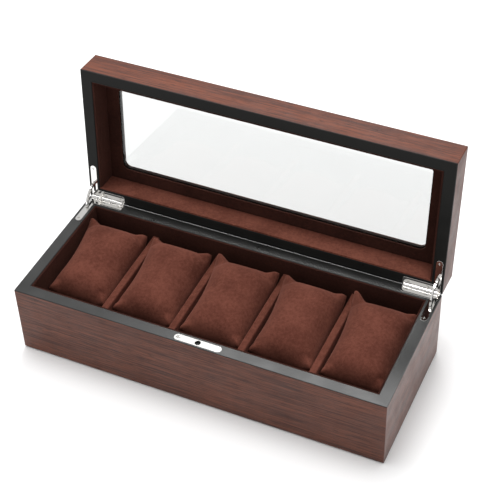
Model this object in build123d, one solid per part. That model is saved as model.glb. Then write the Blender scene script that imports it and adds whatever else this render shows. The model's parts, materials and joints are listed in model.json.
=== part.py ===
"""Watch box: a veneered five-compartment case with a hinged, glazed lid.

Millimetres, +X along the length, +Y from front to back, +Z up. The origin is the
centre of the face that the box stands on. The lid is drawn open, on its stop.
"""

import os
from math import asin, cos, degrees, radians, sin

from build123d import *

# ---- overall sizes -----------------------------------------------------------
LENGTH = 320.0
DEPTH = 127.6
BASE_RIM_Z = 66.0            # height of the base's rim above the table
LID_HEIGHT = 25.4            # rim of the lid to its top face
LID_GAP = 0.3                # air between the two rims when the box is shut
LID_OPEN_ANGLE = 94.3

# ---- case boards and veneer --------------------------------------------------
RIM_WIDTH = 10.0             # width of the black rim: board plus veneer
VENEER = 0.6
CORNER_RADIUS = 0.8
EDGE_EASE = 0.35
RIM_EASE = 0.4               # inner edges of the black rims
PLATE_EASE = 0.3             # upper edges of the hinge leaves and the catch plate
BOTTOM_THICKNESS = 9.0
FELT_THICKNESS = 1.0
FELT_INSET = 4.0

# ---- suede linings and dividers ----------------------------------------------
LINING = 1.4
LINING_DROP = 0.5            # linings stop this far short of the rim
COMPARTMENTS = 5
DIVIDER_THICKNESS = 6.0
DIVIDER_DROP = 15.0          # rim of the base down to the divider tops
DIVIDER_EDGE_RADIUS = 1.2
DIVIDER_END_GAP = 0.2

# ---- pillows -----------------------------------------------------------------
PILLOW_SIDE_GAP = 0.8
PILLOW_FLOOR_GAP = 0.3
PILLOW_FRONT_GAP = 15.0      # front lining to the pillow
PILLOW_BACK_GAP = 5.0
PILLOW_FOOT_INSET = 4.0      # how far the foot is drawn in at the front and back
PILLOW_FRONT_DROP = 21.0     # rim down to the pillow's front shoulder
PILLOW_BACK_DROP = 10.0
PILLOW_CROWN_DROP = 6.0
PILLOW_EDGE_RADIUS = 6.0

# ---- lid top: rails, glass and suede window liner ----------------------------
WINDOW_INSET = 23.8          # outside of the lid to the window opening
WINDOW_RADIUS = 5.0
LINER_MARGIN = 1.0           # the liner's opening is larger by this all round
LINER_THICKNESS = 1.2
LID_TOP_THICKNESS = 4.7      # rails and their veneer
GLASS_THICKNESS = 2.0
GLASS_LAP = 4.0

# ---- quadrant hinges ---------------------------------------------------------
LEAF_THICKNESS = 1.6
SIDE_LEG_WIDTH = 6.0
SIDE_LEG_LENGTH = 33.0       # from the back face of the box
BACK_LEG_WIDTH = 8.0
BACK_LEG_LENGTH = 32.0
BACK_LEG_RADIUS = 2.5
BARREL_RADIUS = 2.0
AXIS_INSIDE_BACK = 0.08      # hinge axis, just in front of the back face of the box
BARREL_CLEARANCE = 0.3       # air round the barrel, to the boards and the other leaf
BARREL_LENGTH = 30.0
KNUCKLES = 5
KNUCKLE_GAP = 0.2
PIN_RADIUS = 0.9
PIN_RUNNING_FIT = 0.05
SCREW_HEAD_RADIUS = 2.3
SCREW_SHANK_RADIUS = 1.1
SCREW_LENGTH = 10.0
SIDE_SCREW_FROM_END = 3.3
BACK_SCREW_FROM_END = 4.0
BACK_SCREW_FROM_BACK = 4.7
CORNER_SCREW_FROM_SIDE = 11.0
CROSS_LENGTH = 2.6
CROSS_WIDTH = 0.5
CROSS_DEPTH = 0.8

# ---- quadrant arms -----------------------------------------------------------
ARM_RADIUS = 14.5            # hinge axis to the arm's centre line
ARM_WIDTH = 2.5
ARM_THICKNESS = 1.5
ARM_CLEARANCE = 0.35         # air round the arm in the slots and pockets
HOOK_ARC = 3.5               # degrees
HOOK_REACH = 2.0
HOOK_DROP = 0.3              # air between a hook and its leaf when the lid is open
SLOT_FROM_AXIS = 6.0
MORTISE_SPARE = 3.0          # degrees of pocket past the arm's tip when the lid is shut
MORTISE_PAST_RIM = 4.0       # degrees that the pocket runs on above the hinge axis

# ---- magnetic catch ----------------------------------------------------------
CATCH_X = 3.0                # the catch sits a little to the right of the middle
CATCH_LENGTH = 41.0
CATCH_WIDTH = 6.8
CATCH_THICKNESS = 1.5
CATCH_HOLE_RADIUS = 2.4
CATCH_SCREW_SPACING = 33.5
CATCH_SCREW_HEAD_RADIUS = 2.1
CATCH_SCREW_SHANK_RADIUS = 0.9
CATCH_SCREW_LENGTH = 9.0
MAGNET_RADIUS = 3.0
MAGNET_LENGTH = 6.0
STRIKE_RADIUS = 4.0
STRIKE_THICKNESS = 2.0

CUT_PAST = 1.0               # how far a through cut runs past both faces

# ---- derived places ----------------------------------------------------------
HALF_L = LENGTH / 2
HALF_D = DEPTH / 2
WALL_FOOT_Z = FELT_THICKNESS
BOTTOM_TOP_Z = WALL_FOOT_Z + BOTTOM_THICKNESS
FLOOR_Z = BOTTOM_TOP_Z + LINING
DIVIDER_TOP_Z = BASE_RIM_Z - DIVIDER_DROP
LINED_INSET = RIM_WIDTH + LINING
LINED_LENGTH = LENGTH - 2 * LINED_INSET
SLOT_WIDTH_X = (LINED_LENGTH - (COMPARTMENTS - 1) * DIVIDER_THICKNESS) / COMPARTMENTS
PITCH = SLOT_WIDTH_X + DIVIDER_THICKNESS

LID_RIM_Z = BASE_RIM_Z + LID_GAP
LID_TOP_Z = LID_RIM_Z + LID_HEIGHT
RAIL_TOP_Z = LID_TOP_Z - VENEER
RAIL_FOOT_Z = LID_TOP_Z - LID_TOP_THICKNESS
LINER_FOOT_Z = RAIL_FOOT_Z - LINER_THICKNESS

AXIS_Y = HALF_D - AXIS_INSIDE_BACK
AXIS_Z = BASE_RIM_Z + LID_GAP / 2
LEG_X = HALF_L - RIM_WIDTH / 2           # centre line of the hinges' side legs
LEG_OUTER_X = LEG_X + SIDE_LEG_WIDTH / 2
FRONT_RIM_Y = -HALF_D + RIM_WIDTH / 2

ARM_INNER = ARM_RADIUS - ARM_WIDTH / 2
ARM_OUTER = ARM_RADIUS + ARM_WIDTH / 2
SLOT_REACH = ARM_OUTER + ARM_CLEARANCE   # hinge axis to the front end of the slot
HOOK_ANGLE = degrees(asin((LEAF_THICKNESS + LID_GAP / 2 + HOOK_DROP) / SLOT_REACH))
ARM_EMBED = HOOK_ANGLE + HOOK_ARC        # arm past each rim, in degrees, when the lid is open

SIDES = ("front", "back", "left", "right")


# ---- building blocks ---------------------------------------------------------
def block(x0, x1, y0, y1, z0, z1):
    """A box between two opposite corners."""
    centre = Pos((x0 + x1) / 2, (y0 + y1) / 2, (z0 + z1) / 2)
    return centre * Box(x1 - x0, y1 - y0, z1 - z0)


def prism(points, z0, z1):
    """A polygon in plan, raised from z0 to z1."""
    face = make_face(Polyline(*points, close=True))
    return Pos(0, 0, z0) * extrude(face, amount=z1 - z0)


def board(side, outer, inner, z0, z1):
    """One mitred board of a rectangular frame, between two insets from the outside."""
    x0, x1 = HALF_L - outer, HALF_L - inner
    y0, y1 = HALF_D - outer, HALF_D - inner
    footprint = {
        "front": [(-x0, -y0), (x0, -y0), (x1, -y1), (-x1, -y1)],
        "back": [(-x0, y0), (-x1, y1), (x1, y1), (x0, y0)],
        "left": [(-x0, -y0), (-x1, -y1), (-x1, y1), (-x0, y0)],
        "right": [(x0, -y0), (x0, y0), (x1, y1), (x1, -y1)],
    }
    return prism(footprint[side], z0, z1)


def rounded_panel(inset, radius, z0, z1):
    """A rounded rectangle in plan, inset from the outside of the box."""
    outline = RectangleRounded(LENGTH - 2 * inset, DEPTH - 2 * inset, radius)
    return Pos(0, 0, z0) * extrude(outline, amount=z1 - z0)


def eased_case(z0, z1, rim_z):
    """The whole outer block of the base or lid, eased but for the rim's edge at the hinges."""
    case = block(-HALF_L, HALF_L, -HALF_D, HALF_D, z0, z1)
    case = fillet(case.edges().filter_by(Axis.Z), CORNER_RADIUS)
    eased = chamfer(case.faces().filter_by(Axis.Z).edges(), EDGE_EASE)
    x = HALF_L - CORNER_RADIUS
    at_hinges = block(-x, x, HALF_D - EDGE_EASE, HALF_D, rim_z - EDGE_EASE, rim_z + EDGE_EASE)
    return eased + (at_hinges & case)


def rim_bevel():
    """Cutter that eases the inner edge of the base's rim all round."""
    inside = Rectangle(LENGTH - 2 * RIM_WIDTH, DEPTH - 2 * RIM_WIDTH)
    return Pos(0, 0, BASE_RIM_Z - RIM_EASE) * extrude(inside, amount=RIM_EASE + CUT_PAST, taper=-45)


def eased_top(plate):
    """A flat plate with the edges of its upper face eased."""
    return chamfer(plate.faces().sort_by(Axis.Z)[-1].edges(), PLATE_EASE)


def ring_slice(inner, outer, low, high):
    """Face of a slice of a ring round the hinge axis; angles rise from the front."""
    centre = (AXIS_Y, AXIS_Z)

    def rim_point(radius, angle):
        return (AXIS_Y - radius * cos(radians(angle)), AXIS_Z + radius * sin(radians(angle)))

    return make_face([
        CenterArc(centre, outer, 180 - high, high - low),
        CenterArc(centre, inner, 180 - high, high - low),
        Line(rim_point(outer, low), rim_point(inner, low)),
        Line(rim_point(outer, high), rim_point(inner, high)),
    ])


def on_leg(face, thickness):
    """Raise a side view to a plate that is centred on the hinge's side leg."""
    return Pos(LEG_X, 0, 0) * extrude(Plane.YZ * face, amount=thickness / 2, both=True)


def mirrored(shape):
    """The left-hand twin of a right-hand shape."""
    return mirror(shape, about=Plane.YZ)


def opened(shape):
    """Swing a lid piece from the shut position to the open one."""
    to_axis = Pos(0, AXIS_Y, AXIS_Z)
    return to_axis * Rot(-LID_OPEN_ANGLE, 0, 0) * Pos(0, -AXIS_Y, -AXIS_Z) * shape


def over_rim(shape):
    """Turn a base fitting upside down, to its twin's place in the shut lid."""
    return mirror(shape, about=Plane.XY.offset(AXIS_Z))


# ---- screws ------------------------------------------------------------------
def screw_body(head_radius, head_height, shank_radius, length):
    """Countersunk screw, head uppermost, with its top face at z = 0."""
    head = Pos(0, 0, -head_height / 2) * Cone(shank_radius, head_radius, head_height)
    shank_length = length - head_height
    shank = Pos(0, 0, -head_height - shank_length / 2) * Cylinder(shank_radius, shank_length)
    return head + shank


def cross_recess():
    """Cross-shaped driver recess in the top of a screw head."""
    arm = Box(CROSS_LENGTH, CROSS_WIDTH, 2 * CROSS_DEPTH)
    return arm + Rot(0, 0, 90) * arm


def placed(shape, places, z):
    """Copies of a shape at each place in plan."""
    return [Pos(x, y, z) * shape for x, y in places]


# ---- hinge pieces, right-hand side -------------------------------------------
HINGE_SCREW_PLACES = [
    (LEG_X, HALF_D - SIDE_LEG_LENGTH + SIDE_SCREW_FROM_END),
    (LEG_OUTER_X - CORNER_SCREW_FROM_SIDE, HALF_D - BACK_SCREW_FROM_BACK),
    (LEG_OUTER_X - BACK_LEG_LENGTH + BACK_SCREW_FROM_END, HALF_D - BACK_SCREW_FROM_BACK),
]
HINGE_SCREW = screw_body(SCREW_HEAD_RADIUS, LEAF_THICKNESS, SCREW_SHANK_RADIUS, SCREW_LENGTH)


def leaf_plate():
    """L-shaped plate let into the rim: a rounded side leg and a back leg."""
    side_length = SIDE_LEG_LENGTH - SIDE_LEG_WIDTH / 2
    side = Pos(LEG_X, HALF_D - side_length / 2) * Rectangle(SIDE_LEG_WIDTH, side_length)
    tip = Pos(LEG_X, HALF_D - side_length) * Circle(SIDE_LEG_WIDTH / 2)
    back_centre = Pos(LEG_OUTER_X - BACK_LEG_LENGTH / 2, HALF_D - BACK_LEG_WIDTH / 2)
    back = back_centre * RectangleRounded(BACK_LEG_LENGTH, BACK_LEG_WIDTH, BACK_LEG_RADIUS)
    square_end = (
        Pos(LEG_OUTER_X - BARREL_LENGTH / 2, HALF_D - BACK_LEG_WIDTH / 4)
        * Rectangle(BARREL_LENGTH, BACK_LEG_WIDTH / 2)
    )
    outline = side + tip + back + square_end
    return Pos(0, 0, BASE_RIM_Z - LEAF_THICKNESS) * extrude(outline, amount=LEAF_THICKNESS)


def arm_slot():
    """Slot in the side leg that the quadrant arm passes through."""
    front = AXIS_Y - SLOT_REACH
    back = AXIS_Y - SLOT_FROM_AXIS
    half = ARM_THICKNESS / 2 + ARM_CLEARANCE
    foot = BASE_RIM_Z - LEAF_THICKNESS - CUT_PAST
    return block(LEG_X - half, LEG_X + half, front, back, foot, BASE_RIM_Z + CUT_PAST)


def arm_mortise():
    """Curved pocket in the boards that holds the arm when the lid is shut."""
    reach = LID_OPEN_ANGLE / 2 + ARM_EMBED + MORTISE_SPARE
    inner = ARM_INNER - ARM_CLEARANCE
    outer = ARM_OUTER + HOOK_REACH + ARM_CLEARANCE
    pocket = ring_slice(inner, outer, -reach, MORTISE_PAST_RIM)
    return on_leg(pocket, ARM_THICKNESS + 2 * ARM_CLEARANCE)


def knuckle_spans():
    """Start and end of each knuckle along X, from the corner inwards."""
    length = (BARREL_LENGTH - (KNUCKLES - 1) * KNUCKLE_GAP) / KNUCKLES
    starts = [LEG_OUTER_X - (i + 1) * length - i * KNUCKLE_GAP for i in range(KNUCKLES)]
    return [(start, start + length) for start in starts]


def barrel_part(x0, x1, radius):
    """A cylinder on the hinge axis."""
    return Pos((x0 + x1) / 2, AXIS_Y, AXIS_Z) * Rot(0, 90, 0) * Cylinder(radius, x1 - x0)


def barrel_relief():
    """Room for the whole barrel, cut from the boards and from the leaves' back edges."""
    return barrel_part(
        LEG_OUTER_X - BARREL_LENGTH - BARREL_CLEARANCE,
        LEG_OUTER_X + BARREL_CLEARANCE,
        BARREL_RADIUS + BARREL_CLEARANCE,
    )


def hinge_leaf(first_knuckle, bore_radius):
    """Base-side leaf with every second knuckle, slot, and countersunk holes."""
    leaf = eased_top(leaf_plate()) - barrel_relief()
    foot = BASE_RIM_Z - LEAF_THICKNESS
    for x0, x1 in knuckle_spans()[first_knuckle::2]:
        tab = block(x0, x1, HALF_D - BACK_LEG_WIDTH / 2, AXIS_Y, foot, BASE_RIM_Z)
        leaf = leaf + tab + barrel_part(x0, x1, BARREL_RADIUS)
    bore = barrel_part(LEG_OUTER_X - BARREL_LENGTH - CUT_PAST, LEG_OUTER_X + CUT_PAST, bore_radius)
    leaf = leaf - bore - arm_slot()
    for hole in placed(HINGE_SCREW, HINGE_SCREW_PLACES, BASE_RIM_Z):
        leaf = leaf - hole
    return leaf


def hinge_pin():
    """Pin held fast in the base leaf's knuckles."""
    return barrel_part(LEG_OUTER_X - BARREL_LENGTH, LEG_OUTER_X, PIN_RADIUS)


def hinge_screws():
    """The three screws of one leaf, as separate solids."""
    screw = HINGE_SCREW - cross_recess()
    return Compound([part.solid() for part in placed(screw, HINGE_SCREW_PLACES, BASE_RIM_Z)])


def hinge_arm():
    """Curved arm with a hook at each end; the hooks stop the lid when it is open."""
    low = -ARM_EMBED
    high = LID_OPEN_ANGLE + ARM_EMBED
    outline = ring_slice(ARM_INNER, ARM_OUTER, low, high)
    for start in (low, high - HOOK_ARC):
        hook = ring_slice(ARM_INNER, ARM_OUTER + HOOK_REACH, start, start + HOOK_ARC)
        outline = outline + hook
    return on_leg(outline, ARM_THICKNESS)


def hinge_cutters():
    """Everything that one hinge leaf needs cut out of the boards of the base."""
    pockets = [leaf_plate(), arm_mortise(), barrel_relief()]
    return pockets + placed(HINGE_SCREW, HINGE_SCREW_PLACES, BASE_RIM_Z)


# ---- magnetic catch ----------------------------------------------------------
CATCH_SCREW_PLACES = [(CATCH_X + s * CATCH_SCREW_SPACING / 2, FRONT_RIM_Y) for s in (-1, 1)]
CATCH_SCREW = screw_body(
    CATCH_SCREW_HEAD_RADIUS, CATCH_THICKNESS, CATCH_SCREW_SHANK_RADIUS, CATCH_SCREW_LENGTH
)


def catch_blank():
    """Plate with round ends, before its holes are made."""
    outline = SlotOverall(CATCH_LENGTH, CATCH_WIDTH)
    blank = extrude(outline, amount=CATCH_THICKNESS)
    return Pos(CATCH_X, FRONT_RIM_Y, BASE_RIM_Z - CATCH_THICKNESS) * blank


def catch_plate():
    plate = eased_top(catch_blank())
    for hole in placed(CATCH_SCREW, CATCH_SCREW_PLACES, BASE_RIM_Z):
        plate = plate - hole
    hole = Cylinder(CATCH_HOLE_RADIUS, 2 * (CATCH_THICKNESS + CUT_PAST))
    return plate - Pos(CATCH_X, FRONT_RIM_Y, BASE_RIM_Z) * hole


def catch_screws():
    screw = CATCH_SCREW - cross_recess()
    return Compound([part.solid() for part in placed(screw, CATCH_SCREW_PLACES, BASE_RIM_Z)])


def catch_magnet():
    top = BASE_RIM_Z - CATCH_THICKNESS
    return Pos(CATCH_X, FRONT_RIM_Y, top - MAGNET_LENGTH / 2) * Cylinder(MAGNET_RADIUS, MAGNET_LENGTH)


def catch_strike():
    """Steel disc let into the lid's front rim, over the magnet."""
    middle = LID_RIM_Z + STRIKE_THICKNESS / 2
    return Pos(CATCH_X, FRONT_RIM_Y, middle) * Cylinder(STRIKE_RADIUS, STRIKE_THICKNESS)


def catch_cutters():
    return [catch_blank(), catch_magnet()] + placed(CATCH_SCREW, CATCH_SCREW_PLACES, BASE_RIM_Z)


# ---- base --------------------------------------------------------------------
def base_pieces():
    """Boards, veneers, bottom and felt of the base."""
    right = hinge_cutters()
    cutters = right + [mirrored(cutter) for cutter in right] + catch_cutters() + [rim_bevel()]
    case = eased_case(WALL_FOOT_Z, BASE_RIM_Z, BASE_RIM_Z)
    pieces = {}
    for side in SIDES:
        wall = board(side, VENEER, RIM_WIDTH, WALL_FOOT_Z, BASE_RIM_Z)
        skin = board(side, 0, VENEER, WALL_FOOT_Z, BASE_RIM_Z) & case
        pieces[f"base_{side}_wall"] = cut_all(wall, cutters)
        pieces[f"base_{side}_veneer"] = cut_all(skin, cutters)
    x, y = HALF_L - RIM_WIDTH, HALF_D - RIM_WIDTH
    pieces["base_bottom_panel"] = block(-x, x, -y, y, WALL_FOOT_Z, BOTTOM_TOP_Z)
    x, y = HALF_L - FELT_INSET, HALF_D - FELT_INSET
    pieces["base_felt_pad"] = block(-x, x, -y, y, 0, FELT_THICKNESS)
    return pieces


def cut_all(shape, cutters):
    """Subtract each cutter that reaches the shape."""
    for cutter in cutters:
        shape = shape - cutter
    return shape


def base_linings():
    """Suede-covered cards on the four walls and the floor of the base."""
    top = BASE_RIM_Z - LINING_DROP
    x, y = HALF_L - RIM_WIDTH, HALF_D - RIM_WIDTH
    return {
        "base_front_lining": block(-x, x, -y, -y + LINING, BOTTOM_TOP_Z, top),
        "base_back_lining": block(-x, x, y - LINING, y, BOTTOM_TOP_Z, top),
        "base_left_lining": block(-x, -x + LINING, -y + LINING, y - LINING, BOTTOM_TOP_Z, top),
        "base_right_lining": block(x - LINING, x, -y + LINING, y - LINING, BOTTOM_TOP_Z, top),
        "base_floor_lining": block(
            -x + LINING, x - LINING, -y + LINING, y - LINING, BOTTOM_TOP_Z, FLOOR_Z
        ),
    }


def divider(centre_x):
    """Suede-wrapped divider with a softly rounded top."""
    half = DIVIDER_THICKNESS / 2
    end = HALF_D - LINED_INSET - DIVIDER_END_GAP
    slab = block(centre_x - half, centre_x + half, -end, end, FLOOR_Z, DIVIDER_TOP_Z)
    top_edges = slab.edges().filter_by(Axis.Y).group_by(Axis.Z)[-1]
    return fillet(top_edges, DIVIDER_EDGE_RADIUS)


def dividers():
    first = -(COMPARTMENTS - 2) / 2 * PITCH
    return {f"divider_{i + 1}": divider(first + i * PITCH) for i in range(COMPARTMENTS - 1)}


# ---- pillows -----------------------------------------------------------------
def pillow(centre_x):
    """Plain block of one pillow: a crowned side profile, higher at the back."""
    front = -HALF_D + LINED_INSET + PILLOW_FRONT_GAP
    back = HALF_D - LINED_INSET - PILLOW_BACK_GAP
    foot = FLOOR_Z + PILLOW_FLOOR_GAP
    front_top = (front, BASE_RIM_Z - PILLOW_FRONT_DROP)
    back_top = (back, BASE_RIM_Z - PILLOW_BACK_DROP)
    crown = (front / 3 + back * 2 / 3, BASE_RIM_Z - PILLOW_CROWN_DROP)
    sides = Polyline(
        front_top, (front + PILLOW_FOOT_INSET, foot), (back - PILLOW_FOOT_INSET, foot), back_top
    )
    profile = make_face([sides, ThreePointArc(back_top, crown, front_top)])
    half = SLOT_WIDTH_X / 2 - PILLOW_SIDE_GAP
    body = extrude(Plane.YZ * profile, amount=half, both=True)
    return Pos(centre_x, 0, 0) * fillet(body.edges(), PILLOW_EDGE_RADIUS)


def pillows():
    first = -(COMPARTMENTS - 1) / 2 * PITCH
    return {f"pillow_{i + 1}": pillow(first + i * PITCH) for i in range(COMPARTMENTS)}


# ---- lid, drawn shut ---------------------------------------------------------
def lid_walls():
    """Boards and side veneers of the lid."""
    right = [over_rim(cutter) for cutter in hinge_cutters()]
    cutters = right + [mirrored(cutter) for cutter in right] + [catch_strike(), over_rim(rim_bevel())]
    case = eased_case(LID_RIM_Z, LID_TOP_Z, LID_RIM_Z)
    pieces = {}
    for side in SIDES:
        wall = board(side, VENEER, RIM_WIDTH, LID_RIM_Z, RAIL_FOOT_Z)
        skin = board(side, 0, VENEER, LID_RIM_Z, RAIL_TOP_Z) & case
        pieces[f"lid_{side}_wall"] = cut_all(wall, cutters)
        pieces[f"lid_{side}_veneer"] = cut_all(skin, cutters)
    return pieces


def lid_top():
    """Mitred top rails rebated for the glass, their veneer, the glass and the liner."""
    case = eased_case(LID_RIM_Z, LID_TOP_Z, LID_RIM_Z)
    overlap = WINDOW_INSET + WINDOW_RADIUS
    window = rounded_panel(WINDOW_INSET, WINDOW_RADIUS, RAIL_FOOT_Z - CUT_PAST, LID_TOP_Z + CUT_PAST)
    glass_inset = WINDOW_INSET - GLASS_LAP
    glass = rounded_panel(glass_inset, WINDOW_RADIUS, RAIL_FOOT_Z, RAIL_FOOT_Z + GLASS_THICKNESS)
    pieces = {}
    strips = []
    for side in SIDES:
        rail = board(side, VENEER, overlap, RAIL_FOOT_Z, RAIL_TOP_Z)
        pieces[f"lid_top_{side}_rail"] = rail - window - glass
        strip = board(side, 0, overlap, RAIL_TOP_Z, LID_TOP_Z) & case
        strips.append((strip - window).solid())
    pieces["lid_top_veneer"] = Compound(strips)
    pieces["lid_glass"] = glass
    x, y = HALF_L - RIM_WIDTH, HALF_D - RIM_WIDTH
    card = block(-x, x, -y, y, LINER_FOOT_Z, RAIL_FOOT_Z)
    opening = rounded_panel(
        WINDOW_INSET - LINER_MARGIN,
        WINDOW_RADIUS + LINER_MARGIN,
        LINER_FOOT_Z - CUT_PAST,
        RAIL_FOOT_Z + CUT_PAST,
    )
    pieces["lid_window_liner"] = card - opening
    return pieces


def lid_linings():
    """Suede-covered cards on the four inner sides of the lid."""
    foot = LID_RIM_Z + LINING_DROP
    x, y = HALF_L - RIM_WIDTH, HALF_D - RIM_WIDTH
    return {
        "lid_front_lining": block(-x, x, -y, -y + LINING, foot, LINER_FOOT_Z),
        "lid_back_lining": block(-x, x, y - LINING, y, foot, LINER_FOOT_Z),
        "lid_left_lining": block(-x, -x + LINING, -y + LINING, y - LINING, foot, LINER_FOOT_Z),
        "lid_right_lining": block(x - LINING, x, -y + LINING, y - LINING, foot, LINER_FOOT_Z),
    }


def lid_hinge_pieces():
    leaf = over_rim(hinge_leaf(1, PIN_RADIUS + PIN_RUNNING_FIT))
    screws = over_rim(hinge_screws())
    return {
        "hinge_right_lid_leaf": leaf,
        "hinge_left_lid_leaf": mirrored(leaf),
        "hinge_right_lid_screws": screws,
        "hinge_left_lid_screws": mirrored(screws),
    }


# ---- whole object ------------------------------------------------------------
def base_hinge_pieces():
    right = {
        "base_leaf": hinge_leaf(0, PIN_RADIUS),
        "pin": hinge_pin(),
        "base_screws": hinge_screws(),
        "arm": hinge_arm(),
    }
    pieces = {}
    for name, shape in right.items():
        pieces[f"hinge_right_{name}"] = shape
        pieces[f"hinge_left_{name}"] = mirrored(shape)
    return pieces


def all_pieces():
    """Every node of the box, with the lid open."""
    pieces = {}
    for group in (base_pieces(), base_linings(), dividers(), pillows(), base_hinge_pieces()):
        pieces.update(group)
    pieces["catch_plate"] = catch_plate()
    pieces["catch_screws"] = catch_screws()
    pieces["catch_magnet"] = catch_magnet()
    lid = {"lid_catch_strike": catch_strike()}
    for group in (lid_walls(), lid_top(), lid_linings(), lid_hinge_pieces()):
        lid.update(group)
    pieces.update({name: opened(shape) for name, shape in lid.items()})
    return pieces


os.makedirs("parts", exist_ok=True)
for node, solid in all_pieces().items():
    export_step(solid, f"parts/{node}.step")
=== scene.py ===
"""Looks of the watch box: veneer, lacquer, suede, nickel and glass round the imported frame.

Metres, +X along the length, +Y from front to back, +Z up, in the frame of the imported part.
"""

import json
import math
import bpy
import numpy as np
from mathutils import Euler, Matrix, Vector


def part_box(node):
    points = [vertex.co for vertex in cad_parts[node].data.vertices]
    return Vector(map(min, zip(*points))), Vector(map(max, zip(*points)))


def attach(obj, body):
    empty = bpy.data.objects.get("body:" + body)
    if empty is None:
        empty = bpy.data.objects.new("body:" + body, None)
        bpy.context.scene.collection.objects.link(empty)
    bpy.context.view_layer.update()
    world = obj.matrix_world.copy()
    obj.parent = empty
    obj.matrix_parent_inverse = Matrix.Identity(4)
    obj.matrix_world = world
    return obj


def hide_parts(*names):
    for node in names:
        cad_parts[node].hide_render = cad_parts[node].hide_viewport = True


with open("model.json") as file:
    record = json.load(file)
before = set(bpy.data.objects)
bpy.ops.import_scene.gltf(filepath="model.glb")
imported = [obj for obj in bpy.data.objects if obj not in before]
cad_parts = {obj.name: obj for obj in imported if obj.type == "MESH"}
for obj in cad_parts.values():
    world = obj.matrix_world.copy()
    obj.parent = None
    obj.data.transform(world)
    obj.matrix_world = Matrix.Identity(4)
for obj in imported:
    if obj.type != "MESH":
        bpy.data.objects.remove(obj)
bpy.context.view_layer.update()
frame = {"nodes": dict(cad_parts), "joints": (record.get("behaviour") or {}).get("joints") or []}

MM = 0.001
SIDES = ("front", "back", "left", "right")

# ---- places, read from the frame ----------------------------------------------
LID_JOINT = next(j for j in frame["joints"] if j["name"] == "lid_hinge")
LID_OPEN = math.radians(-min(LID_JOINT["range_deg"]))
AXIS = Vector(LID_JOINT["pos_m"])
CASE_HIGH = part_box("base_back_veneer")[1]
HALF_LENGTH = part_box("base_front_veneer")[1].x
HALF_DEPTH = CASE_HIGH.y
RIM_Z = CASE_HIGH.z
FLOOR_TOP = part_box("base_floor_lining")[1].z
DIVIDER_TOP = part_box("divider_1")[1].z
INNER_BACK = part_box("base_back_lining")[0].y

# ---- camera and lights ----------------------------------------------------------
CAMERA_AT = (0.358, -0.7002, 0.8389)
CAMERA_TURN = (47.42, 1.66, 24.35)      # degrees about X, Y and Z
CAMERA_LENS = 100.9                     # for the default 36 mm sensor
LIGHT_TARGET = (0, 0, 0.08)
OVERHEAD = ("overhead", (-0.3, 0.25, 2.5), 1.6, 48)          # place, side in metres, watts
BACK_PANEL = ("back_panel", (-0.40, 1.49, 1.84), 0.9, 17)
STUDIO_STRENGTH = 0.66
FLOOR_REACH = 30.0


# ---- node helpers -----------------------------------------------------------------
class Nodes:
    """Short names for building one material's node tree."""

    def __init__(self, name):
        self.material = bpy.data.materials.new(name)
        self.material.use_nodes = True
        self.tree = self.material.node_tree
        self.shader = self.tree.nodes["Principled BSDF"]
        self.output = self.tree.nodes["Material Output"]

    def add(self, kind, inputs=(), **settings):
        """A new node with its settings, and its inputs given as values or sockets."""
        node = self.tree.nodes.new(kind)
        for key, value in settings.items():
            setattr(node, key, value)
        for key, value in dict(inputs).items():
            self.put(node.inputs[key], value)
        return node

    def put(self, socket, value):
        """Give a socket a value, or link another socket to it."""
        if isinstance(value, bpy.types.NodeSocket):
            self.tree.links.new(value, socket)
        else:
            socket.default_value = value

    def math(self, operation, *values):
        return self.add("ShaderNodeMath", enumerate(values), operation=operation).outputs[0]

    def weighted(self, *pairs):
        """Sum of values, each times its share."""
        parts = [self.math("MULTIPLY", value, share) for value, share in pairs]
        total = parts.pop()
        while parts:
            total = self.math("ADD", parts.pop(), total)
        return total

    def dot(self, vector, axis):
        inputs = {0: vector, 1: tuple(axis)}
        return self.add("ShaderNodeVectorMath", inputs, operation="DOT_PRODUCT").outputs["Value"]

    def point(self):
        """Place in the piece's own frame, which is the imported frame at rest."""
        return self.add("ShaderNodeTexCoord").outputs["Object"]

    def scaled(self, vector, factors):
        inputs = {0: vector, 1: tuple(factors)}
        return self.add("ShaderNodeVectorMath", inputs, operation="MULTIPLY").outputs[0]

    def joined(self, x, y, z):
        return self.add("ShaderNodeCombineXYZ", {0: x, 1: y, 2: z}).outputs[0]

    def noise(self, vector, scale=1.0, detail=2.0, roughness=0.5):
        inputs = {"Vector": vector, "Scale": scale, "Detail": detail, "Roughness": roughness}
        return self.add("ShaderNodeTexNoise", inputs).outputs[0]

    def spread(self, value, low, high, out_low=0.0, out_high=1.0):
        """Stretch a range of a value to another, with smooth ends."""
        inputs = {0: value, 1: low, 2: high, 3: out_low, 4: out_high}
        return self.add("ShaderNodeMapRange", inputs, interpolation_type="SMOOTHSTEP").outputs[0]

    def blend(self, share, first, second, mode="MIX"):
        """Two colours, mixed by a share."""
        node = self.add("ShaderNodeMix", data_type="RGBA", blend_type=mode)
        self.put(node.inputs["Factor"], share)
        for socket, colour in ((node.inputs[6], first), (node.inputs[7], second)):
            value = colour if isinstance(colour, bpy.types.NodeSocket) else (*colour, 1.0)
            self.put(socket, value)
        return node.outputs[2]

    def bump(self, height, strength, distance):
        inputs = {"Height": height, "Strength": strength, "Distance": distance}
        return self.add("ShaderNodeBump", inputs).outputs[0]

    def finish(self, **inputs):
        """Set the shader's inputs by name, with spaces written as underscores."""
        for key, value in inputs.items():
            self.put(self.shader.inputs[key.replace("_", " ")], value)
        return self.material


# ---- wood ---------------------------------------------------------------------------
LID_UP = Vector((0, math.sin(LID_OPEN), math.cos(LID_OPEN)))       # the shut lid's +Z
LID_BACK = Vector((0, math.cos(LID_OPEN), -math.sin(LID_OPEN)))    # the shut lid's +Y
X_AXIS = Vector((1, 0, 0))
Y_AXIS = Vector((0, 1, 0))
Z_AXIS = Vector((0, 0, 1))

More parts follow.
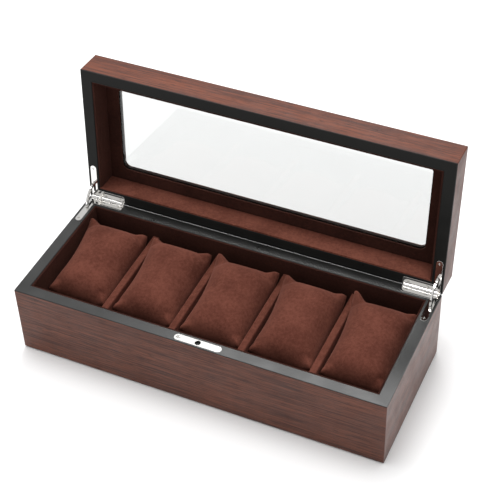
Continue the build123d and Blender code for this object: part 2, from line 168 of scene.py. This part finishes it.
RIM_BLACK = (0.012, 0.012, 0.0115)
VENEER_DARK = (0.036, 0.0100, 0.0058)
VENEER_MID = (0.088, 0.0255, 0.0135)
VENEER_LIGHT = (0.150, 0.0470, 0.0250)
# Painted light: the lid's front veneer is tinted warmer, with its red made brighter, to stand in
# for the warm lamp light falling on it; the wood is the same as the other sides.
LID_FRONT_LIT_TINT = (1.08, 0.86, 0.62)           # of the lid's front
# Painted sheen: the veneer's lacquer is one finish, but its specular level is set side by side for
# how the lamps fall on each side, a painted bright sheen on the base's right side and a dimmed one
# on the fronts.
PAINTED_SHEEN_BY_SIDE = {                                # specular level of each side
    "base": {"front": 0.31, "back": 0.5, "left": 0.5, "right": 1.0},
    "lid": {"front": 0.31, "back": 0.5, "left": 0.5, "right": 0.4},
}
# Painted shade: the lid's black lacquer is the base's own finish, with its specular level cut far
# down so the lid's rim shows a dimmed reflection.
PAINTED_RIM_SHEEN = {"base": 0.5, "lid": 0.08}
LID_SHIFT = 4.0                          # the lid's grain differs from the base's by this
END_SHIFT = 7.0                          # and the top's end strips from its long strips

# Cycles per metre along and across the grain.
GRAIN_WANDER = (9, 40)
GRAIN_BROAD = (5, 95)
GRAIN_LINES = (19, 800)
GRAIN_PORES = (95, 1700)
WANDER_WIDTH = 2.4 * MM
VENEER_RELIEF = 0.12 * MM


def grain(n, along, across, shift, cycles, **settings):
    """Noise drawn out along the grain."""
    stretched = [n.math("MULTIPLY", place, count) for place, count in zip((along, across), cycles)]
    return n.noise(n.joined(*stretched, shift), **settings)


def veneer_colour(n, along, across, shift):
    """Colour and height of straight-grained stained veneer, from a place in metres."""
    wander = grain(n, along, across, shift, GRAIN_WANDER)
    drift = n.math("MULTIPLY", n.math("SUBTRACT", wander, 0.5), WANDER_WIDTH)
    place = n.math("ADD", across, drift)
    broad = grain(n, along, place, shift, GRAIN_BROAD, detail=3)
    lines = grain(n, along, place, shift, GRAIN_LINES, detail=4, roughness=0.66)
    pores = grain(n, along, place, shift, GRAIN_PORES)
    tone = n.weighted((broad, 0.26), (lines, 0.74))
    light = n.blend(n.spread(tone, 0.45, 0.61), VENEER_MID, VENEER_LIGHT)
    streaked = n.blend(n.spread(tone, 0.50, 0.36), light, VENEER_DARK)
    pitted = n.spread(pores, 0.56, 0.63)
    colour = n.blend(n.math("MULTIPLY", pitted, 0.75), streaked, VENEER_DARK)
    height = n.math("SUBTRACT", lines, n.math("MULTIPLY", pitted, 0.8))
    return colour, height


def veneer_finish(n, colour, height, level):
    """Satin lacquer over the stained wood."""
    smears = n.noise(n.point(), 55, detail=3)
    return n.finish(
        Base_Color=colour,
        Roughness=n.spread(smears, 0.3, 0.7, 0.40, 0.52),
        Normal=n.bump(height, 0.35, VENEER_RELIEF),
        # level is the side's own specular level, a painted sheen set for how the lamps fall on
        # that side
        Specular_IOR_Level=level,
    )


def veneer(case, side, along, up, rim, shift):
    """Veneer of one side, with its grain along an axis and its edge at the rim black."""
    n = Nodes(f"veneer_{case}_{side}")
    place = n.point()
    colour, height = veneer_colour(n, n.dot(place, along), n.dot(place, up), shift)
    # painted light: a warmer, brighter copy of the veneer colour on the lid's front, where the
    # lamp falls
    if (case, side) == ("lid", "front"):
        colour = n.blend(1.0, colour, LID_FRONT_LIT_TINT, "MULTIPLY")
    facing = n.dot(n.add("ShaderNodeTexCoord").outputs["Normal"], rim)
    colour = n.blend(n.math("GREATER_THAN", facing, 0.5), colour, RIM_BLACK)
    return veneer_finish(n, colour, height, PAINTED_SHEEN_BY_SIDE[case][side])


def top_veneer():
    """The lid's top frame: four mitred strips, each with its grain along its length."""
    n = Nodes("veneer_lid_top")
    place = n.point()
    across_lid = n.math("ADD", n.dot(place, LID_BACK), AXIS.y - LID_BACK.dot(AXIS))
    along_lid = n.dot(place, X_AXIS)
    from_end = n.math("SUBTRACT", n.math("ABSOLUTE", along_lid), HALF_LENGTH)
    from_side = n.math("SUBTRACT", n.math("ABSOLUTE", across_lid), HALF_DEPTH)
    at_end = n.math("GREATER_THAN", from_end, from_side)
    swap = n.add("ShaderNodeMix", {0: at_end}, data_type="VECTOR")       # inputs 4 and 5: A and B
    n.put(swap.inputs[4], n.joined(along_lid, across_lid, 0.0))
    n.put(swap.inputs[5], n.joined(across_lid, along_lid, END_SHIFT))
    parts = n.add("ShaderNodeSeparateXYZ", {0: swap.outputs[1]})
    colour, height = veneer_colour(n, parts.outputs[0], parts.outputs[1], parts.outputs[2])
    return veneer_finish(n, colour, height, PAINTED_SHEEN_BY_SIDE["lid"]["back"])


def black_lacquer(name, along, level):
    """Satin black lacquer that still shows a little of the grain below it."""
    n = Nodes(name)
    place = n.point()
    stretch = [60 if axis > 0.5 else 900 for axis in along]
    streaks = n.noise(n.scaled(place, stretch), detail=3)
    smears = n.noise(place, 45, detail=4)
    tone = n.blend(smears, (0.010, 0.010, 0.0095), (0.018, 0.018, 0.017))
    return n.finish(
        Base_Color=tone,
        Roughness=n.spread(smears, 0.25, 0.75, 0.27, 0.36),
        Specular_IOR_Level=level,
        Normal=n.bump(streaks, 0.10, 0.05 * MM),
    )


def plain_board():
    """Pressed fibreboard."""
    n = Nodes("board")
    flecks = n.noise(n.point(), 900, detail=4, roughness=0.7)
    colour = n.blend(n.spread(flecks, 0.35, 0.65), (0.19, 0.12, 0.07), (0.33, 0.23, 0.15))
    return n.finish(Base_Color=colour, Roughness=0.85, Normal=n.bump(flecks, 0.3, 0.2 * MM))


# ---- cloth ----------------------------------------------------------------------------
def suede(name, dark, light):
    """Short-napped faux suede: soft mottling where the nap lies both ways, and fine fibres."""
    n = Nodes(name)
    place = n.point()
    brushed = n.noise(place, 38, detail=3, roughness=0.6)
    mottle = n.noise(place, 420, detail=3, roughness=0.65)
    fibres = n.noise(place, 1900, detail=2, roughness=0.7)
    tone = n.weighted((brushed, 0.40), (mottle, 0.35), (fibres, 0.25))
    colour = n.blend(n.spread(tone, 0.36, 0.64), dark, light)
    height = n.weighted((fibres, 0.6), (mottle, 0.8))
    return n.finish(
        Base_Color=colour,
        Roughness=0.95,
        Specular_IOR_Level=0.12,
        Sheen_Weight=0.35,
        Sheen_Roughness=0.45,
        Sheen_Tint=(0.55, 0.24, 0.18, 1.0),
        Normal=n.bump(height, 0.35, 0.35 * MM),
    )


def felt():
    """Black felt with loose tufts."""
    n = Nodes("felt")
    tufts = n.noise(n.point(), 700, detail=5, roughness=0.75)
    colour = n.blend(n.spread(tufts, 0.3, 0.7), (0.012, 0.012, 0.012), (0.04, 0.04, 0.04))
    return n.finish(Base_Color=colour, Roughness=1.0, Normal=n.bump(tufts, 0.6, 0.4 * MM))


# ---- metal and glass ------------------------------------------------------------------
def nickel(name, dark, light, smooth, rough):
    """Nickel plate with faint wiping marks."""
    n = Nodes(name)
    place = n.point()
    wipes = n.noise(n.scaled(place, (260, 900, 500)), detail=3)
    cloud = n.noise(place, 160, detail=2)
    tone = n.blend(cloud, dark, light)
    return n.finish(
        Base_Color=tone,
        Metallic=1.0,
        Roughness=n.spread(wipes, 0.3, 0.7, smooth, rough),
        Normal=n.bump(wipes, 0.02, 0.03 * MM),
    )


def magnet_metal():
    """Dark plated face of the magnet."""
    n = Nodes("magnet")
    cloud = n.noise(n.point(), 900, detail=3)
    tone = n.blend(cloud, (0.008, 0.008, 0.008), (0.03, 0.03, 0.03))
    return n.finish(Base_Color=tone, Metallic=1.0, Roughness=n.spread(cloud, 0.3, 0.7, 0.3, 0.5))


def pane():
    """Smooth, faintly tinted glass that lets the lamps' light through."""
    n = Nodes("glass")
    haze = n.noise(n.point(), 18, detail=4)
    n.finish(
        Base_Color=n.blend(haze, (0.660, 0.670, 0.667), (0.690, 0.700, 0.697)),
        Transmission_Weight=1.0,
        IOR=1.48,
        Roughness=0.0,
    )
    clear = n.add("ShaderNodeBsdfTransparent", {"Color": (0.86, 0.875, 0.87, 1.0)})
    rays = n.add("ShaderNodeLightPath")
    shaders = {0: rays.outputs["Is Shadow Ray"], 1: n.shader.outputs[0], 2: clear.outputs[0]}
    mix = n.add("ShaderNodeMixShader", shaders)
    n.put(n.output.inputs["Surface"], mix.outputs[0])
    return n.material


# ---- finishes on the CAD nodes -----------------------------------------------------------
# The linings are one suede in lit and shaded copies: the lid's back lining is lighter, painted
# light where the lamps fall on it, and the rest are much darker, painted shade for the dim inside
# of the box.
SHADED_LINING_SUEDE = suede("suede_lining", (0.019, 0.0054, 0.0036), (0.038, 0.0120, 0.0080))
LIT_LINING_SUEDE = suede("suede_lining_painted_light", (0.086, 0.0250, 0.0158), (0.162, 0.0525, 0.0345))
PILLOW_SUEDE = suede("suede_pillow", (0.080, 0.0235, 0.0150), (0.150, 0.0490, 0.0330))


def paint(node, material):
    """Give a CAD node its material, in its only slot."""
    slots = frame["nodes"][node].data.materials
    slots.clear()
    slots.append(material)


def paint_case():
    """Veneer, black lacquer and lining of the base and of the lid."""
    base_black_long = black_lacquer("black_lacquer_base_long", X_AXIS, PAINTED_RIM_SHEEN["base"])
    base_black_short = black_lacquer("black_lacquer_base_short", Y_AXIS, PAINTED_RIM_SHEEN["base"])
    # the lid's lacquer copies carry the cut specular level, painted shade on their reflection
    lid_black_long = black_lacquer("black_lacquer_lid_long", X_AXIS, PAINTED_RIM_SHEEN["lid"])
    lid_black_short = black_lacquer("black_lacquer_lid_short", Z_AXIS, PAINTED_RIM_SHEEN["lid"])
    for i, side in enumerate(SIDES):
        short = side in ("left", "right")
        base_run, lid_run = (Y_AXIS, LID_BACK) if short else (X_AXIS, X_AXIS)
        base_black = base_black_short if short else base_black_long
        lid_black = lid_black_short if short else lid_black_long
        paint(f"base_{side}_veneer", veneer("base", side, base_run, Z_AXIS, Z_AXIS, i))
        paint(f"lid_{side}_veneer", veneer("lid", side, lid_run, LID_UP, -LID_UP, LID_SHIFT + i))
        paint(f"base_{side}_wall", base_black)
        paint(f"lid_{side}_wall", lid_black)
        paint(f"lid_top_{side}_rail", lid_black)
        paint(f"base_{side}_lining", SHADED_LINING_SUEDE)
        # painted light on the lid's back lining, painted shade on the other linings
        paint(f"lid_{side}_lining", LIT_LINING_SUEDE if side == "back" else SHADED_LINING_SUEDE)
    paint("lid_top_veneer", top_veneer())
    paint("lid_catch_strike", lid_black_long)


def paint_rest():
    """The bottom, the glass, the dividers and the metal."""
    polished = nickel("nickel", (0.82, 0.805, 0.78), (0.90, 0.89, 0.87), 0.025, 0.06)
    # The catch plate's nickel is satin, and its colour is also set far darker than the polished
    # nickel's, painted shade that keeps the lamp's reflection in it from burning out white.
    satin_shaded_nickel = nickel("nickel_satin_painted_shade", (0.40, 0.395, 0.385), (0.46, 0.455, 0.445), 0.34, 0.42)
    paint("base_bottom_panel", plain_board())
    paint("base_felt_pad", felt())
    # painted shade: the floor lining and the window liner get the darkened lining suede
    paint("base_floor_lining", SHADED_LINING_SUEDE)
    paint("lid_window_liner", SHADED_LINING_SUEDE)
    paint("lid_glass", pane())
    paint("catch_magnet", magnet_metal())
    # painted shade: the darkened satin nickel on the catch plate
    paint("catch_plate", satin_shaded_nickel)
    for node in frame["nodes"]:
        if node.startswith("divider"):
            paint(node, PILLOW_SUEDE)
        elif node.startswith("hinge") or node == "catch_screws":
            paint(node, polished)


# ---- pillows ------------------------------------------------------------------------------
SIM_SCALE = 10.0                 # pillows are stuffed at this scale, where cloth behaves
GRID = (34, 48)                  # faces across and along each half of a cover
HALF_WIDTH = 26.3 * MM
HALF_LONG = 37 * MM
WAIST = 2.8 * MM                 # how far the side seams pull in between the ears
END_WAIST = 0.3 * MM
UPPER_BULGE = 18.5 * MM          # seam plane up to the crown
LOWER_BULGE = 35 * MM            # seam plane down to the belly
STUFFED_SHARE = 0.96             # the cover starts a little small and swells to size
MOST_MOVED = 4.0 * MM            # cap on how far stuffing moves a point
STUFFING_FRAMES = 16
STUFFING = {
    "quality": 6,
    "mass": 0.4,
    "air_damping": 2.0,
    "tension_stiffness": 30,
    "compression_stiffness": 30,
    "shear_stiffness": 12,
    "bending_stiffness": 0.8,
    "use_pressure": True,
    "uniform_pressure_force": 4.0,
}
SEAM_TILT = math.radians(9.5)
SEAM_BACK_Z = RIM_Z - 11.5 * MM
SEAM_BACK_Y = INNER_BACK - 11.0 * MM
SIDE_AIR = 0.6 * MM              # cover to a divider or side lining
BACK_AIR = 0.8 * MM              # and to the back lining
FLOOR_AIR = 0.4 * MM             # and to the floor lining
SPREAD_ABOVE = 2.5 * MM          # how far a cover may spread over a divider
SPREAD_WITHIN = 4 * MM           # rise above the divider's top over which it spreads
BACK_LEFT_EARS = (5.0, 4.0, 6.0, 4.5, 7.5)      # mm past the cover's corner, pillows 1 to 5
BACK_RIGHT_EARS = (3.5, 3.5, 4.5, 2.5, 3.0)
FRONT_EARS = (3.0, 3.5, 3.5, 3.5, 3.0)


def ease(value, low, high):
    """Smooth step from 0 at low to 1 at high."""
    t = min(1.0, max(0.0, (value - low) / (high - low)))
    return t * t * (3 - 2 * t)


def cover_point(u, v, side, ears):
    """A point of a full cover, from -1..1 across and along, on its upper or lower half."""
    corner = (u > 0) + 2 * (v > 0)         # front left, front right, back left, back right
    ear = ears[corner] * ease(abs(u), 0.66, 0.92) * ease(abs(v), 0.84, 1.0)
    x = u * (HALF_WIDTH - WAIST * (1 - v * v) ** 1.5 + 0.35 * ear)
    y = v * (HALF_LONG - END_WAIST * (1 - u * u) ** 1.5 + ear)
    full = (1 - abs(u) ** 3.4) * (1 - abs(v) ** 6)
    bulge = UPPER_BULGE if side > 0 else LOWER_BULGE
    z = side * bulge * full ** (0.5 if side > 0 else 0.42)
    return x, y, z + (0.8 if v > 0 else 1.2) * ear


def pillow_cover(name, ears):
    """Two sheets joined round their edge, shaped like the stuffed pillow."""
    columns, lines = GRID
    ids, points, faces = {}, [], []

    def vertex(i, j, side):
        rim = i in (0, columns) or j in (0, lines)
        key = (i, j, 0 if rim else side)
        if key not in ids:
            u, v = (math.sin(math.pi / 2 * (2 * k / n - 1)) for k, n in ((i, columns), (j, lines)))
            ids[key] = len(points)
            points.append(cover_point(u, v, side, ears))
        return ids[key]

    for side in (1, -1):
        for i in range(columns):
            for j in range(lines):
                ring = [(i, j), (i + 1, j), (i + 1, j + 1), (i, j + 1)]
                face = [vertex(a, b, side) for a, b in ring]
                faces.append(face if side > 0 else face[::-1])
    mesh = bpy.data.meshes.new(name)
    mesh.from_pydata(points, [], faces)
    obj = bpy.data.objects.new(name, mesh)
    bpy.context.scene.collection.objects.link(obj)
    return obj


def points_of(mesh):
    """The mesh's points as rows of an array."""
    flat = np.zeros(len(mesh.vertices) * 3)
    mesh.vertices.foreach_get("co", flat)
    return flat.reshape(-1, 3)


def set_points(obj, points):
    obj.data.vertices.foreach_set("co", points.astype(np.float32).ravel())
    obj.data.update()


def stuff(obj):
    """Let the cover swell and pucker as cloth under pressure, and return its points."""
    full = points_of(obj.data)
    set_points(obj, full * SIM_SCALE * STUFFED_SHARE)
    cloth = obj.modifiers.new("stuffing", "CLOTH")
    for key, value in STUFFING.items():
        setattr(cloth.settings, key, value)
    cloth.settings.effector_weights.gravity = 0
    cloth.collision_settings.use_collision = False
    cloth.point_cache.frame_start = 1
    cloth.point_cache.frame_end = STUFFING_FRAMES
    scene = bpy.context.scene
    for step in range(1, STUFFING_FRAMES + 1):
        scene.frame_set(step)
    graph = bpy.context.evaluated_depsgraph_get()
    swollen = points_of(obj.evaluated_get(graph).data) / SIM_SCALE
    obj.modifiers.clear()
    scene.frame_set(1)
    moved = swollen - full
    far = np.linalg.norm(moved, axis=1, keepdims=True) + 1e-9
    return full + moved * np.minimum(1, MOST_MOVED / far)


def soft_limit(values, limit, room):
    """Values bent smoothly to stay under a limit, from a little room before it."""
    over = (values - (limit - room)) / room
    bent = limit - room + room * np.tanh(over)
    return np.where(over > 0, bent, values)


def seat_pillow(points, slot_low, slot_high):
    """Lay a stuffed pillow in its slot: tilted, resting on the floor, held by the sides."""
    x, y, z = points.T
    y = y - HALF_LONG
    cos, sin = math.cos(SEAM_TILT), math.sin(SEAM_TILT)
    placed_y = SEAM_BACK_Y + y * cos - z * sin
    placed_z = SEAM_BACK_Z + y * sin + z * cos
    middle = (slot_low + slot_high) / 2
    half = (slot_high - slot_low) / 2
    above = np.clip((placed_z - DIVIDER_TOP) / SPREAD_WITHIN, 0, 1)
    limit = half - SIDE_AIR + SPREAD_ABOVE * above
    x = np.sign(x) * soft_limit(np.abs(x), limit, 2 * MM)
    placed_y = soft_limit(placed_y, INNER_BACK - BACK_AIR, 3 * MM)
    placed_z = -soft_limit(-placed_z, -(FLOOR_TOP + FLOOR_AIR), 4 * MM)
    return np.stack([middle + x, placed_y, placed_z], axis=1)


def finish_soft(obj, material):
    """Smooth shading, one subdivision and the material."""
    for polygon in obj.data.polygons:
        polygon.use_smooth = True
    smooth = obj.modifiers.new("smooth", "SUBSURF")
    smooth.levels = smooth.render_levels = 1
    obj.data.materials.append(material)


def make_pillows():
    """Five stuffed pillows, each between the two walls of its slot."""
    all_ears = zip(FRONT_EARS, BACK_LEFT_EARS, BACK_RIGHT_EARS)
    for i, (front, back_left, back_right) in enumerate(all_ears):
        node = f"pillow_{i + 1}"
        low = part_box("base_left_lining")[1].x if i == 0 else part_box(f"divider_{i}")[1].x
        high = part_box("base_right_lining")[0].x if i == 4 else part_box(f"divider_{i + 1}")[0].x
        ears = [MM * ear for ear in (front, front, back_left, back_right)]
        cover = pillow_cover(f"watch_pillow_{i + 1}", ears)
        points = stuff(cover)
        set_points(cover, seat_pillow(points, low, high))
        finish_soft(cover, PILLOW_SUEDE)
        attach(cover, node)
        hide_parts(node)


# ---- stage ----------------------------------------------------------------------------------
def make_floor():
    """A wide, plain, pale floor."""
    mesh = bpy.data.meshes.new("floor")
    signs = ((-1, -1), (1, -1), (1, 1), (-1, 1))
    corners = [(x * FLOOR_REACH, y * FLOOR_REACH, 0) for x, y in signs]
    mesh.from_pydata(corners, [], [(0, 1, 2, 3)])
    floor = bpy.data.objects.new("floor", mesh)
    bpy.context.scene.collection.objects.link(floor)
    n = Nodes("floor")
    floor.data.materials.append(
        n.finish(Base_Color=(0.93, 0.93, 0.93, 1.0), Roughness=0.9, Specular_IOR_Level=0.0)
    )


def area_light(name, place, side, watts):
    """A square soft light, turned to the box."""
    data = bpy.data.lights.new(name, "AREA")
    data.shape = "SQUARE"
    data.size = side
    data.energy = watts
    light = bpy.data.objects.new(name, data)
    light.location = place
    aim = Vector(LIGHT_TARGET) - Vector(place)
    light.rotation_euler = aim.to_track_quat("-Z", "Y").to_euler()
    bpy.context.scene.collection.objects.link(light)


def make_lights():
    """Two soft lights and an even white studio round them."""
    area_light(*OVERHEAD)
    area_light(*BACK_PANEL)
    world = bpy.data.worlds.new("studio")
    world.use_nodes = True
    background = world.node_tree.nodes["Background"]
    background.inputs["Color"].default_value = (1, 1, 1, 1)
    background.inputs["Strength"].default_value = STUDIO_STRENGTH
    bpy.context.scene.world = world


def make_camera():
    """The photograph's view."""
    data = bpy.data.cameras.new("camera")
    data.lens = CAMERA_LENS
    camera = bpy.data.objects.new("camera", data)
    camera.location = CAMERA_AT
    camera.rotation_euler = Euler([math.radians(turn) for turn in CAMERA_TURN])
    bpy.context.scene.collection.objects.link(camera)
    bpy.context.scene.camera = camera


paint_case()
paint_rest()
make_pillows()
make_floor()
make_lights()
make_camera()
bpy.context.scene.view_settings.view_transform = "Standard"
